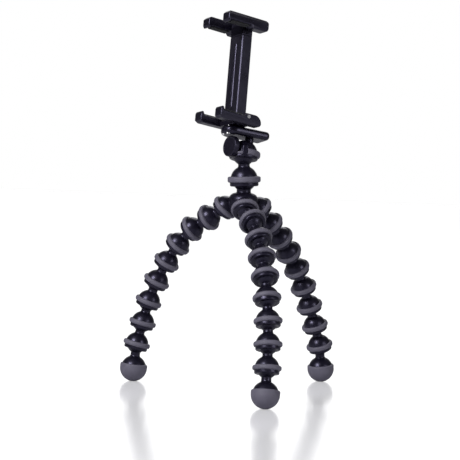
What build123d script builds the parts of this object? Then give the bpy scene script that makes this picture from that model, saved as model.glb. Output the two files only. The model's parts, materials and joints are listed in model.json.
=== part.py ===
from build123d import *
from collections import namedtuple
from math import acos, asin, cos, degrees, radians, sin, sqrt
import os

# A small tripod with three bendable legs, a ball head and a folding, spring-closed phone clamp.
# Every leg is a chain of balls, each held in the socket of the piece above it.
# Lengths are in millimetres. +Z is up, the feet stand on z = 0 and -Y faces the viewer.
# A bearing is seen from above: 0 points at the viewer and 90 points to the right.
# A tilt is measured down from level, so 90 hangs straight down.

# Leg chain
link_count = 8
ball_pitch = 13.0
leg_ball_r = 5.8
leg_neck_r = 2.8
leg_dome_r = 6.8
leg_mouth_drop = 3.4
leg_skirt_r = 6.9
leg_groove_r = 6.45
leg_ring_thickness = 1.55
leg_ring_height = 2.8
ball_play = 0.06
skirt_round = 0.8
ring_round = 1.1

# Pose of the legs, in degrees. The tilt of the eighth link follows from the floor.
leg_drop_share = 6.42
foot_drop_share = 0.985
leg_names = ("front", "right", "left")
front_bearing = 5.8
link_tilts = {
    "left": (30, 33.5, 47, 58, 63.5, 70, 76.5),
    "front": (29, 44, 48.5, 50, 61.5, 70, 73),
    "right": (43, 41.5, 42, 51, 59, 64, 67.5),
}
foot_tilts = {"left": 84, "front": 76, "right": 83}
link_bearings = {
    "left": (-124, -116, -115, -112, -106, -98, -87, -78, -70),
    "front": (23, 23, 15, 14, 13, 13, 6, -2, -6),
    "right": (134, 140, 146, 137, 137, 133, 129, 130, 131),
}

# Feet
foot_pitch = 14.4
foot_r = 8.0
foot_core_r = 6.6
foot_lip = 1.3
foot_lip_round = 1.0
foot_flat = 0.15

# Hub where the legs meet
hub_reach = 11.4
hub_socket_tilt = 45
hub_top = 8.9
hub_shoulder_r = 8.6
hub_shoulder_round = 2.6
hub_base_r = 5.2
hub_base_drop = 5.2
hub_waist_drop = 1.5
stud_shank_r = 3.0
hub_screw_r = 1.25
hub_screw_head_r = 2.6
hub_screw_head_height = 1.8
hub_screw_grip = 5.0
hub_floor = 2.6
hub_plug_height = 0.8

# Post: a ball on the hub and one larger link on top of it
post_ball_r = 7.0
post_ball_rise = 16.7
post_stud_neck_r = 4.1
post_dome_r = 7.9
post_mouth_drop = 3.95
post_skirt_r = 8.25
post_groove_r = 7.55
post_ring_thickness = 2.0
post_ring_height = 3.5
post_neck_r = 3.35
post_pitch = 14.5
post_lean = 3
post_lean_bearing = -90

# Head: its own frame has x along the clamp's arms, y across them and z up the clamp's column
head_lean = 13.9
head_lean_bearing = 169.7
head_turn_bearing = 127.2
head_ball_r = 6.6
head_dome_r = 8.0
head_mouth_drop = 3.2
head_neck_r = 2.5
spigot_x = 3.0
spigot_r = 1.9
spigot_play = 0.05
washer_r = 4.2
washer_height = 0.8
spigot_screw_r = 1.25
spigot_screw_depth = 5.4
spigot_screw_head_r = 2.5
spigot_screw_head_height = 1.6

# Lug that fills the gap in the head's ring
lug_bearing = -121
lug_width = 3.2
lug_reach = 9.0
lug_foot = -2.1
lug_top = 3.6
lug_round = 0.5

# Lock knob on the side of the head, over a flat on the dome
flat_wall = 0.75
knob_r = 6.1
knob_thickness = 3.3
knob_height = 2.8
knob_gap = 0.2
knob_dish_r = 4.9
knob_dish_depth = 0.4
knob_edge = 0.5
knob_screw_r = 1.25
knob_screw_bury = 1.2
boss_r = 2.4
boss_rise = 1.2

# Clamp base plate
plate_floor = 9.4
plate_r = 7.0
plate_rear = 13.2
plate_edge = 1.1
plate_web = 1.9
plate_turn = -7.7

# Column and pins of the clamp
column_x = -7.9
column_width = 12.4
column_front = 4.1
column_rear = 2.9
column_top = 67.7
column_edge = 0.8
lower_pin_z = 18.7
upper_pin_z = 73.9
pin_r = 1.1
pin_play = 0.05
side_gap = 0.3
bore_width = 9.2
bore_depth = 4.0
bore_floor = 24.0
groove_width = 1.6
groove_depth = 0.5
groove_foot = 25.9
groove_head = 63.3
slider_play = 0.1
slider_tail = 36.0
slider_gap = 0.2
spring_r = 1.2
spring_wire = 0.35
anchor_r = 0.6
anchor_rise = 2.0

# Jaws: two arms each, on both sides of the column
jaw_front = 19.5
jaw_rear = 9.2
arm_width = 6.5
jaw_bevel = 1.4
jaw_round = 0.7
jaw_slope_inset = 1.4
jaw_slope_height = 2.3
hook_thickness = 1.6
lower_keel = 4.2
lower_lip = 0.4
lower_ear = 1.9
lower_hook = 2.1
lower_heel_round = 1.0
lower_shoulder_round = 4.6
upper_keel = 3.7
upper_lip = 1.6
upper_ear = 3.2
upper_hook = 1.1
upper_heel_round = 1.6
upper_shoulder_round = 2.4
ear_front = 3.2
web_half = 4.0
back_web_depth = 4.0
back_web_height = 3.0
bridge_depth = 2.7
bridge_height = 3.0
pad_thickness = 0.8
pad_margin = 1.0
upper_pin_recess = 0.8

# Screws that hold the lower jaw on the plate
jaw_screw_r = 0.9
jaw_screw_head_r = 1.4
jaw_screw_head_height = 1.3
jaw_screw_spread = 2.0
jaw_screw_shift = 1.5
jaw_screw_bite = 2.4

overrun = 1.0

Cup = namedtuple("Cup", "ball_r dome_r mouth_drop skirt_r groove_r ring_r ring_height")
leg_ring = (leg_groove_r, leg_groove_r + leg_ring_thickness, leg_ring_height)
post_ring = (post_groove_r, post_groove_r + post_ring_thickness, post_ring_height)
leg_cup = Cup(leg_ball_r, leg_dome_r, leg_mouth_drop, leg_skirt_r, *leg_ring)
post_cup = Cup(post_ball_r, post_dome_r, post_mouth_drop, post_skirt_r, *post_ring)
head_cup = Cup(head_ball_r, head_dome_r, head_mouth_drop, post_skirt_r, *post_ring)
Jaw = namedtuple("Jaw", "keel lip ear hook heel_round shoulder_round")
lower = Jaw(lower_keel, lower_lip, lower_ear, lower_hook, lower_heel_round, lower_shoulder_round)
upper = Jaw(upper_keel, upper_lip, upper_ear, upper_hook, upper_heel_round, upper_shoulder_round)


# Directions and places

def heading(tilt, bearing):
    """The unit vector that points down from level by the tilt, towards the bearing."""
    level = cos(radians(tilt))
    return Vector(level * sin(radians(bearing)), -level * cos(radians(bearing)), -sin(radians(tilt)))


def eighth_tilt(leg):
    """The tilt of the eighth link that brings the leg's foot down to the floor."""
    sines = sum(sin(radians(tilt)) for tilt in link_tilts[leg])
    foot_part = foot_pitch / ball_pitch * (foot_drop_share - sin(radians(foot_tilts[leg])))
    return degrees(asin(leg_drop_share - sines + foot_part))


def leg_headings(leg):
    """The headings of the eight links and the foot, from the hub down."""
    tilts = link_tilts[leg] + (eighth_tilt(leg), foot_tilts[leg])
    return [heading(tilt, bearing) for tilt, bearing in zip(tilts, link_bearings[leg])]


def socket_bearing(leg):
    """The bearing of the leg's socket on the hub."""
    return front_bearing + 360 / len(leg_names) * leg_names.index(leg)


def leg_steps(leg):
    """From the hub's centre to each ball of the leg, and on to the foot's own centre."""
    places = [heading(0, socket_bearing(leg)) * hub_reach]
    steps = [ball_pitch] * link_count + [foot_pitch]
    for step, way in zip(steps, leg_headings(leg)):
        places.append(places[-1] + way * step)
    return places


def ring_half_width(lean):
    """Half the width of a tilted grip ring, along an axis that its own axis leans to by this much."""
    flat = (leg_cup.ring_r - ring_round) * sqrt(1 - lean**2)
    return flat + (leg_ring_height / 2 - ring_round) * abs(lean) + ring_round


def middle(centres, half_widths):
    """The middle of a row of pieces, from the outermost edge on one side to that on the other."""
    low = min(centre - half for centre, half in zip(centres, half_widths))
    high = max(centre + half for centre, half in zip(centres, half_widths))
    return (low + high) / 2


def hub_place():
    """The hub's centre, set so that the origin is the middle of the legs' box on the floor."""
    places = []
    ways = []
    for leg in leg_names:
        places += leg_steps(leg)[1:]
        ways += leg_headings(leg)
    middle_x = middle([place.X for place in places], [ring_half_width(way.X) for way in ways])
    middle_y = middle([place.Y for place in places], [ring_half_width(way.Y) for way in ways])
    height = foot_r - foot_flat - leg_steps(leg_names[0])[-1].Z
    return Vector(-middle_x, -middle_y, height)


hub_centre = hub_place()
post_centre = hub_centre + Vector(0, 0, post_ball_rise)
post_way = heading(-90 + post_lean, post_lean_bearing)
head_centre = post_centre + post_way * post_pitch
head_up = heading(-90 + head_lean, head_lean_bearing)
head_frame = Plane(origin=head_centre, x_dir=heading(0, head_turn_bearing), z_dir=head_up)


def ball_centres(leg):
    """The centres of the leg's balls, from the one in the hub to the foot's own centre."""
    return [hub_centre + place for place in leg_steps(leg)]


def frame_looking_back(origin, way, bearing):
    """A frame at the origin whose z points back along the way, with x level."""
    return Plane(origin=origin, x_dir=heading(0, bearing + 90), z_dir=-way)


# Round shapes: outlines are drawn with x as the radius and y as the height, then spun

def spun(edges):
    """The solid that an outline sweeps out about the upright axis."""
    return revolve(Plane.XZ * make_face(edges), Axis.Z)


def arc_about(height, radius, first, last):
    """An arc about a point on the axis, from one angle above level to another."""
    return CenterArc((0, height), radius, first, last - first)


def sphere_drop(radius, half_width):
    """How far above a sphere's centre its surface has the given half width."""
    return sqrt(radius**2 - half_width**2)


def edge_angle(radius, half_width):
    """The angle above level at which a sphere has the given half width."""
    return degrees(acos(half_width / radius))


def cavity_r(cup):
    """The radius of the hollow that holds the ball."""
    return cup.ball_r + ball_play


def cup_outer_edges(cup, first_angle):
    """The outline of a socket from its dome, past the ring's groove, down to the skirt."""
    half = cup.ring_height / 2
    groove_angle = degrees(asin(half / cup.dome_r))
    mouth_r = sphere_drop(cavity_r(cup), cup.mouth_drop)
    low = -cup.mouth_drop
    return [
        arc_about(0, cup.dome_r, first_angle, groove_angle),
        Line((sphere_drop(cup.dome_r, half), half), (cup.groove_r, half)),
        Line((cup.groove_r, half), (cup.groove_r, -half)),
        Line((cup.groove_r, -half), (cup.skirt_r, -half)),
        Line((cup.skirt_r, -half), (cup.skirt_r, low + skirt_round)),
        CenterArc((cup.skirt_r - skirt_round, low + skirt_round), skirt_round, 0, -90),
        Line((cup.skirt_r - skirt_round, low), (mouth_r, low)),
    ]


def cup_inner_edge(cup):
    """The hollow's outline, from its mouth up to the axis."""
    return arc_about(0, cavity_r(cup), -degrees(asin(cup.mouth_drop / cavity_r(cup))), 90)


def stud_edges(ball_r, neck_r, height, seat_z):
    """A ball on the axis and the neck under it, down to the seat."""
    return [
        arc_about(height, ball_r, 90, -edge_angle(ball_r, neck_r)),
        Line((neck_r, height - sphere_drop(ball_r, neck_r)), (neck_r, seat_z)),
    ]


def link_shell(cup, ball_r, neck_r, pitch):
    """A moulded link: a ball on a neck above, a domed socket below."""
    seat = sphere_drop(cup.dome_r, neck_r)
    edges = stud_edges(ball_r, neck_r, pitch, seat)
    edges += cup_outer_edges(cup, edge_angle(cup.dome_r, neck_r))
    edges += [cup_inner_edge(cup), Line((0, cavity_r(cup)), (0, pitch + ball_r))]
    return spun(edges)


def cup_solid(cup):
    """A socket's outside without its hollow, closed over the top."""
    mouth_r = sphere_drop(cavity_r(cup), cup.mouth_drop)
    edges = cup_outer_edges(cup, 90)
    edges += [Line((mouth_r, -cup.mouth_drop), (0, -cup.mouth_drop))]
    edges += [Line((0, -cup.mouth_drop), (0, cup.dome_r))]
    return spun(edges)


def cup_hollow(cup):
    """The hollow that is cut for a ball, open past the mouth."""
    mouth_r = sphere_drop(cavity_r(cup), cup.mouth_drop)
    past = -cup.mouth_drop - overrun
    return spun([
        cup_inner_edge(cup),
        Line((mouth_r, -cup.mouth_drop), (mouth_r, past)),
        Line((mouth_r, past), (0, past)),
        Line((0, past), (0, cavity_r(cup))),
    ])


def grip_ring(cup):
    """The soft ring in a socket's groove, with a rounded rim."""
    half = cup.ring_height / 2
    rim = cup.ring_r - ring_round
    return spun([
        Line((cup.groove_r, -half), (rim, -half)),
        CenterArc((rim, -half + ring_round), ring_round, -90, 90),
        Line((cup.ring_r, -half + ring_round), (cup.ring_r, half - ring_round)),
        CenterArc((rim, half - ring_round), ring_round, 0, 90),
        Line((rim, half), (cup.groove_r, half)),
        Line((cup.groove_r, half), (cup.groove_r, -half)),
    ])


# Legs and feet

def leg_link():
    """One leg link: its shell and the grip ring in its groove, as two solids."""
    return [link_shell(leg_cup, leg_ball_r, leg_neck_r, ball_pitch), grip_ring(leg_cup)]


def foot_stem():
    """The last ball, its neck and the round core that the rubber foot is moulded on."""
    seat = sphere_drop(foot_core_r, leg_neck_r)
    edges = stud_edges(leg_ball_r, leg_neck_r, foot_pitch, seat)
    edges += [arc_about(0, foot_core_r, edge_angle(foot_core_r, leg_neck_r), -90)]
    edges += [Line((0, -foot_core_r), (0, foot_pitch + leg_ball_r))]
    return spun(edges)


def foot_cap():
    """The rubber foot: half a ball outside, with a short rounded lip round the core."""
    rim = foot_r - foot_lip_round
    lip_r = sphere_drop(foot_core_r, foot_lip)
    lip_angle = degrees(asin(foot_lip / foot_core_r))
    return spun([
        arc_about(0, foot_r, -90, 0),
        Line((foot_r, 0), (foot_r, foot_lip - foot_lip_round)),
        CenterArc((rim, foot_lip - foot_lip_round), foot_lip_round, 0, 90),
        Line((rim, foot_lip), (lip_r, foot_lip)),
        arc_about(0, foot_core_r, lip_angle, -90),
        Line((0, -foot_core_r), (0, -foot_r)),
    ])


def below_floor(place):
    """A block under the floor, which cuts the small worn flat of a foot."""
    block = Box(foot_r * 2, foot_r * 2, foot_r, align=(Align.CENTER, Align.CENTER, Align.MAX))
    return Pos(place.X, place.Y, 0) * block


def make_leg(leg, nodes):
    """The eight links and the foot of one leg, in their places."""
    centres = ball_centres(leg)
    ways = leg_headings(leg)
    shell, ring = leg_link()
    for number in range(1, link_count + 1):
        frame = frame_looking_back(centres[number], ways[number - 1], link_bearings[leg][number - 1])
        nodes[f"{leg}_leg_link_{number}"] = [frame * shell, frame * ring]
    frame = frame_looking_back(centres[-1], ways[-1], link_bearings[leg][-1])
    nodes[f"{leg}_foot_stem"] = [frame * foot_stem()]
    nodes[f"{leg}_foot_cap"] = [frame * foot_cap() - below_floor(centres[-1])]


# Hub

def socket_frame(leg):
    """The frame of one hub socket, with z pointing back into the hub."""
    bearing = socket_bearing(leg)
    origin = heading(0, bearing) * hub_reach
    return frame_looking_back(origin, heading(hub_socket_tilt, bearing), bearing)


def hub_core():
    """The hub's round middle, with a rounded shoulder and a tapered base."""
    shoulder = hub_top - hub_shoulder_round
    return spun([
        Line((0, hub_top), (hub_shoulder_r - hub_shoulder_round, hub_top)),
        CenterArc((hub_shoulder_r - hub_shoulder_round, shoulder), hub_shoulder_round, 90, -90),
        Line((hub_shoulder_r, shoulder), (hub_shoulder_r, -hub_waist_drop)),
        Line((hub_shoulder_r, -hub_waist_drop), (hub_base_r, -hub_base_drop)),
        Line((hub_base_r, -hub_base_drop), (0, -hub_base_drop)),
        Line((0, -hub_base_drop), (0, hub_top)),
    ])


def disc(radius, low, high):
    """An upright cylinder between two heights."""
    return Pos(0, 0, low) * Cylinder(radius, high - low, align=(Align.CENTER, Align.CENTER, Align.MIN))


def hub_screw_seat():
    """Where the screw's head bears, above the hub's base."""
    return -hub_base_drop + hub_plug_height + hub_screw_head_height


def make_hub(nodes):
    """The hub body, its three rings, the ball stud on top and the screw that holds it."""
    place = Pos(hub_centre.X, hub_centre.Y, hub_centre.Z)
    body = hub_core()
    rings = []
    for leg in leg_names:
        body = body + socket_frame(leg) * cup_solid(leg_cup)
        rings.append(socket_frame(leg) * grip_ring(leg_cup))
    for leg, ring in zip(leg_names, rings):
        body = body - socket_frame(leg) * cup_hollow(leg_cup) - ring
    seat = hub_screw_seat()
    stud_foot = seat + hub_floor
    body = body - disc(stud_shank_r, stud_foot, hub_top + overrun)
    body = body - disc(hub_screw_r, seat, stud_foot)
    body = body - disc(hub_screw_head_r, -hub_base_drop - overrun, seat)
    shank_edges = [
        Line((post_stud_neck_r, hub_top), (stud_shank_r, hub_top)),
        Line((stud_shank_r, hub_top), (stud_shank_r, stud_foot)),
        Line((stud_shank_r, stud_foot), (0, stud_foot)),
        Line((0, stud_foot), (0, post_ball_rise + post_ball_r)),
    ]
    stud = spun(stud_edges(post_ball_r, post_stud_neck_r, post_ball_rise, hub_top) + shank_edges)
    stud = stud - disc(hub_screw_r, stud_foot, stud_foot + hub_screw_grip)
    screw = disc(hub_screw_r, seat, stud_foot + hub_screw_grip)
    screw = screw + disc(hub_screw_head_r, seat - hub_screw_head_height, seat)
    nodes["hub_body"] = [place * body]
    nodes["hub_grip_rings"] = [place * ring for ring in rings]
    nodes["hub_ball_stud"] = [place * stud]
    nodes["hub_screw"] = [place * screw]
    nodes["hub_plug"] = [place * disc(hub_screw_head_r, -hub_base_drop, -hub_base_drop + hub_plug_height)]


def make_post(nodes):
    """The larger link between the hub and the head, and its ring."""
    frame = Plane(origin=post_centre, x_dir=(1, 0, 0), z_dir=post_way)
    nodes["post_link"] = [frame * link_shell(post_cup, head_ball_r, post_neck_r, post_pitch)]
    nodes["post_grip_ring"] = [frame * grip_ring(post_cup)]


# Head, in the head's own frame

def along_x(radius, start, end, z):
    """A cylinder along x between two places, at one height."""
    bar = Rot(0, 90, 0) * Cylinder(radius, end - start, align=(Align.CENTER, Align.CENTER, Align.MIN))
    return Pos(start, 0, z) * bar


def spigot(radius, low, high):
    """An upright cylinder about the swivel's axis."""
    return Pos(spigot_x, 0, 0) * disc(radius, low, high)


def dome_flat():
    """The flat that is cut on the dome for the knob."""
    return -cavity_r(head_cup) - flat_wall


def knob_inner_face():
    """The knob's inner face, just clear of the flat."""
    return dome_flat() - knob_gap


def spigot_end():
    """The top of the neck that the base plate turns on."""
    return plate_floor + plate_web + spigot_play


def lug(reach):
    """The block on the housing that the ring's two ends meet, out to a distance from the head's axis."""
    bar = Box(reach, lug_width, lug_top - lug_foot, align=(Align.MIN, Align.CENTER, Align.MIN))
    outer_edges = bar.faces().sort_by(Axis.X)[-1].edges()
    rounded = fillet(outer_edges, lug_round)
    return Rot(0, 0, lug_bearing) * Pos(0, 0, lug_foot) * rounded


def make_head(nodes):
    """The ball housing with its neck, ring, lock knob and the plate's washer and screw."""
    screw_tip = -cavity_r(head_cup)
    screw_foot = spigot_end() - spigot_screw_depth
    boss_end = dome_flat() - boss_rise
    knob_room = along_x(knob_r + knob_gap, -head_cup.ring_r - overrun, dome_flat(), knob_height)
    housing = cup_solid(head_cup) - knob_room + lug(lug_reach)
    housing = housing + along_x(boss_r, boss_end, screw_tip, knob_height)
    housing = housing + spigot(head_neck_r, screw_foot, plate_floor - spigot_play)
    housing = housing + spigot(spigot_r, plate_floor - spigot_play, spigot_end())
    housing = housing - cup_hollow(head_cup)
    housing = housing - along_x(knob_screw_r + pin_play, boss_end - overrun, 0, knob_height)
    housing = housing - spigot(spigot_screw_r, screw_foot + spigot_screw_r, spigot_end())
    ring = grip_ring(head_cup) - knob_room - lug(head_cup.ring_r + overrun)
    ring = ring - along_x(boss_r, boss_end, 0, knob_height)
    inner = knob_inner_face()
    outer = inner - knob_thickness
    room_end = boss_end - knob_gap
    knob = along_x(knob_r, outer, inner, knob_height)
    knob = chamfer(knob.edges().group_by(Axis.X)[0], knob_edge)
    knob = knob - along_x(knob_dish_r, outer, outer + knob_dish_depth, knob_height)
    buried = room_end - knob_screw_bury
    knob = knob - along_x(boss_r + knob_gap, room_end, inner, knob_height)
    knob = knob - along_x(knob_screw_r, buried, room_end, knob_height)
    washer = spigot(washer_r, spigot_end(), spigot_end() + washer_height)
    washer = washer - spigot(spigot_screw_r, spigot_end(), spigot_end() + washer_height)
    head_foot = spigot_end() + washer_height
    screw = spigot(spigot_screw_r, screw_foot + spigot_screw_r, head_foot)
    screw = screw + spigot(spigot_screw_head_r, head_foot, head_foot + spigot_screw_head_height)
    nodes["head_housing"] = [head_frame * housing]
    nodes["head_grip_ring"] = [head_frame * ring]
    nodes["lock_knob"] = [head_frame * knob]
    nodes["lock_knob_screw"] = [head_frame * along_x(knob_screw_r, buried, screw_tip, knob_height)]
    nodes["swivel_washer"] = [head_frame * washer]
    nodes["swivel_screw"] = [head_frame * screw]


# Clamp, in the head's own frame

def plate_top():
    """The plate's upper face, on which the lower jaw sits."""
    return lower_pin_z - lower.keel


def bridge_x():
    """The middle of the low bridge between the arms, in front of the column's round foot."""
    return column_x - column_rear - side_gap - bridge_depth / 2


def block(x_range, width, z_range):
    """A block that is centred across the arms."""
    box = Box(x_range[1] - x_range[0], width, z_range[1] - z_range[0], align=(Align.MIN, Align.CENTER, Align.MIN))
    return Pos(x_range[0], 0, z_range[0]) * box


def across(radius, length, x, z):
    """A cylinder that lies across the arms."""
    return Pos(x, 0, z) * Rot(90, 0, 0) * Cylinder(radius, length)


def jaw_screws(radius, low, high):
    """One upright cylinder at each of the lower jaw's two screws."""
    places = [Pos(bridge_x(), jaw_screw_shift + side * jaw_screw_spread, 0) for side in (-1, 1)]
    return [place * disc(radius, low, high) for place in places]


def make_base_plate(nodes):
    """The plate under the clamp, which turns on the head's neck and stands askew to the arms."""
    front = Pos(column_x, 0, 0) * disc(plate_r, plate_floor, plate_top())
    plate = front + block((column_x, plate_rear), plate_r * 2, (plate_floor, plate_top()))
    faces = plate.faces().sort_by(Axis.Z)
    plate = fillet(faces[0].edges() + faces[-1].edges(), plate_edge)
    plate = Pos(spigot_x, 0, 0) * Rot(0, 0, plate_turn) * Pos(-spigot_x, 0, 0) * plate
    plate = plate - spigot(spigot_r + spigot_play, plate_floor - overrun, plate_top())
    plate = plate - spigot(washer_r + side_gap, plate_floor + plate_web, plate_top() + overrun)
    head_top = plate_floor + jaw_screw_head_height
    screws = []
    for shank in jaw_screws(jaw_screw_r, head_top, plate_top() + jaw_screw_bite):
        plate = plate - shank
        screws.append(shank)
    for number, head in enumerate(jaw_screws(jaw_screw_head_r, plate_floor, head_top)):
        plate = plate - head
        screws[number] = screws[number] + head
    nodes["base_plate"] = [head_frame * plate]
    nodes["base_plate_screws"] = [head_frame * screw for screw in screws]


def arm_outline(jaw):
    """One arm seen from the side, with its pin at the origin and the phone above it."""
    tip = -jaw_front
    return [
        (tip, jaw_bevel - jaw.keel),
        (tip + jaw_bevel, -jaw.keel),
        (jaw_rear, -jaw.keel),
        (jaw_rear, jaw.ear),
        (-ear_front + jaw_bevel, jaw.ear),
        (-ear_front, jaw.lip),
        (tip + hook_thickness + jaw.hook / 2, jaw.lip),
        (tip + hook_thickness, jaw.lip + jaw.hook),
        (tip + jaw_round, jaw.lip + jaw.hook),
        (tip, jaw.lip + jaw.hook - jaw_bevel),
    ]


def arm_face(jaw):
    """An arm's outline with its corners rounded: a large shoulder and a smaller heel at the rear."""
    face = make_face(Polyline(*arm_outline(jaw), close=True))
    face = fillet(face.vertices().group_by(Axis.X)[-1].sort_by(Axis.Y)[-1], jaw.shoulder_round)
    face = fillet(face.vertices().group_by(Axis.X)[-1].sort_by(Axis.Y)[0], jaw.heel_round)
    return fillet(face.vertices().filter_by(lambda corner: corner.X < 0), jaw_round / 2)


def arm_slope(jaw):
    """The wedge that is cut off an arm's outer edge along its keel."""
    lean = jaw_slope_inset / jaw_slope_height
    inner = -arm_width + jaw_slope_inset + overrun * lean
    outer = -arm_width - overrun * lean
    low = -jaw.keel - overrun
    high = -jaw.keel + jaw_slope_height + overrun
    start = Plane(origin=(-jaw_front - overrun, 0, 0), x_dir=(0, 1, 0), z_dir=(1, 0, 0))
    return extrude(start * make_face(Polyline((inner, low), (outer, high), (outer, low), close=True)),
                   jaw_front + jaw_rear + overrun * 2)


def jaw_gap():
    """The space between the arms, which the column stands in."""
    return column_width + side_gap * 2


def jaw_arms(jaw):
    """The two arms of a jaw, one on each side of the column."""
    arm = extrude(Plane.XZ * arm_face(jaw), arm_width) - arm_slope(jaw)
    near = Pos(0, -jaw_gap() / 2, 0) * arm
    return near + mirror(near, Plane.XZ)


def jaw_pads(lip):
    """The soft strips on the arms, as two solids."""
    apart = (jaw_gap() + arm_width) / 2
    start = -jaw_front + hook_thickness + jaw_bevel
    strip = block((start, -ear_front - pad_margin), arm_width - pad_margin * 2, (lip, lip + pad_thickness))
    return [Pos(0, side * apart, 0) * strip for side in (-1, 1)]


def make_lower_jaw(nodes):
    """The jaw under the phone, fixed on the plate, and the pin that the column folds on."""
    place = head_frame * Pos(column_x, 0, lower_pin_z)
    start = bridge_x() - bridge_depth / 2 - column_x
    jaw = jaw_arms(lower)
    jaw = jaw + block((start, start + bridge_depth), jaw_gap(), (-lower.keel, bridge_height - lower.keel))
    jaw = jaw + block((start, web_half), jaw_gap(), (-lower.keel, -column_rear - side_gap))
    for hole in jaw_screws(jaw_screw_r, plate_top(), plate_top() + jaw_screw_bite):
        jaw = jaw - Pos(-column_x, 0, -lower_pin_z) * hole
    length = jaw_gap() + arm_width * 2
    jaw = jaw - across(pin_r, length, 0, 0)
    nodes["lower_jaw"] = [place * jaw]
    nodes["lower_jaw_pads"] = [place * pad for pad in jaw_pads(lower.lip)]
    nodes["column_pin"] = [place * across(pin_r, length, 0, 0)]


def bar(start, pin_z, front_end):
    """An upright bar from a square end to its pin, with a rear rounded about the pin and a front up to front_end."""
    front = block((-column_front, 0), column_width, sorted((start, front_end)))
    rear = block((0, column_rear), column_width, sorted((start, pin_z)))
    solid = front + rear
    uprights = solid.edges().filter_by(Axis.Z).group_by(Axis.X)
    solid = chamfer(uprights[0] + uprights[-1], column_edge)
    return Pos(column_x, 0, 0) * solid + across(column_rear, column_width, column_x, pin_z)


def bar_middle():
    """The middle of the column between its front and its rear."""
    return column_x + (column_rear - column_front) / 2


def make_column(nodes):
    """The hollow column, with the anchor pin and the spring that pulls the upper jaw down."""
    column = bar(column_top, lower_pin_z, lower_pin_z)
    half = bore_depth / 2
    bore = Pos(bar_middle(), 0, 0) * block((-half, half), bore_width, (bore_floor, column_top + overrun))
    column = column - bore
    groove = block((-column_front - overrun, groove_depth - column_front), groove_width, (groove_foot, groove_head))
    column = column - Pos(column_x, 0, 0) * groove
    anchor_z = bore_floor + anchor_rise
    anchor = across(anchor_r, bore_width + column_edge * 2, bar_middle(), anchor_z)
    column = column - anchor - across(pin_r + pin_play, column_width + overrun, column_x, lower_pin_z)
    foot = anchor_z + anchor_r
    spring = disc(spring_r, foot, slider_tail) - disc(spring_r - spring_wire, foot, slider_tail)
    nodes["column"] = [head_frame * column]
    nodes["spring_anchor_pin"] = [head_frame * anchor]
    nodes["clamp_spring"] = [head_frame * Pos(bar_middle(), 0, 0) * spring]


def make_slider(nodes):
    """The bar that slides out of the column and carries the upper jaw."""
    head = bar(column_top + slider_gap, upper_pin_z, upper_pin_z + column_rear)
    half = bore_depth / 2 - slider_play
    tongue_width = bore_width - slider_play * 2
    tongue = block((-half, half), tongue_width, (slider_tail, column_top + slider_gap))
    slider = head + Pos(bar_middle(), 0, 0) * tongue
    slider = slider - across(pin_r + pin_play, column_width + overrun, column_x, upper_pin_z)
    nodes["slider"] = [head_frame * slider]


def make_upper_jaw(nodes):
    """The jaw over the phone, upside down, which folds on its pin."""
    place = head_frame * Pos(column_x, 0, upper_pin_z)
    start = column_rear + side_gap
    web = block((start, start + back_web_depth), jaw_gap(), (-upper.keel, back_web_height - upper.keel))
    turned = mirror(jaw_arms(upper) + web, Plane.XY)
    length = jaw_gap() + (arm_width - upper_pin_recess) * 2
    turned = turned - across(pin_r, jaw_gap() + arm_width * 2, 0, 0)
    nodes["upper_jaw"] = [place * turned]
    nodes["upper_jaw_pads"] = [place * mirror(pad, Plane.XY) for pad in jaw_pads(upper.lip)]
    nodes["upper_jaw_pin"] = [place * across(pin_r, length, 0, 0)]


# The whole tripod

def make_all():
    """Every node of the tripod, by name, as a list of solids."""
    nodes = {}
    for leg in leg_names:
        make_leg(leg, nodes)
    make_hub(nodes)
    make_post(nodes)
    make_head(nodes)
    make_base_plate(nodes)
    make_lower_jaw(nodes)
    make_column(nodes)
    make_slider(nodes)
    make_upper_jaw(nodes)
    return nodes


os.makedirs("parts", exist_ok=True)
for name, shapes in make_all().items():
    solids = [solid for shape in shapes for solid in shape.solids()]
    export_step(solids[0] if len(solids) == 1 else Compound(children=solids), f"parts/{name}.step")
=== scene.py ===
import json

import bpy
import numpy as np
from mathutils import Matrix


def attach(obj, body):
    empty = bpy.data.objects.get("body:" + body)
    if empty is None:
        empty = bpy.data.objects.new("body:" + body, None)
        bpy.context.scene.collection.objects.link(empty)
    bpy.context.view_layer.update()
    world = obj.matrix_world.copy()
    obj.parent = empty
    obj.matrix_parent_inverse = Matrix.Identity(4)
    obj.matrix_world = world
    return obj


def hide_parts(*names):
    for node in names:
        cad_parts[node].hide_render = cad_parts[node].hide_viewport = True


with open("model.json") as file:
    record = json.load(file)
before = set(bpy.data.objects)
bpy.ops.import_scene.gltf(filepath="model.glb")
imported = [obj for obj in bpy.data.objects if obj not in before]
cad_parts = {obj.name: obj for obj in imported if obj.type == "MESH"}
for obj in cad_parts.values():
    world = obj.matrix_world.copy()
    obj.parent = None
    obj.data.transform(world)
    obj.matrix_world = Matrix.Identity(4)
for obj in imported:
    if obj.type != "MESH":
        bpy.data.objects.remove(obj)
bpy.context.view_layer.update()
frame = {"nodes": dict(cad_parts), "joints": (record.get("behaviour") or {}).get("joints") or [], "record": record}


# Camera
# The photograph looks at the tripod from the front, a little above the hub, through a long lens.
# The picture is turned slightly, and the hub stands right of its middle.
mm = 0.001
joint = {j["name"]: j for j in frame["joints"]}
picture_px = 460
focal_px = 1820
hub_axis_px = 242.3
sensor_mm = 36
eye_distance = 1050 * mm
eye_pitch = np.radians(3.12)
eye_roll = np.radians(2.12)
aim_height = 93 * mm
hub_x, hub_y, _ = joint["post_tilt"]["pos_m"]

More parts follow.
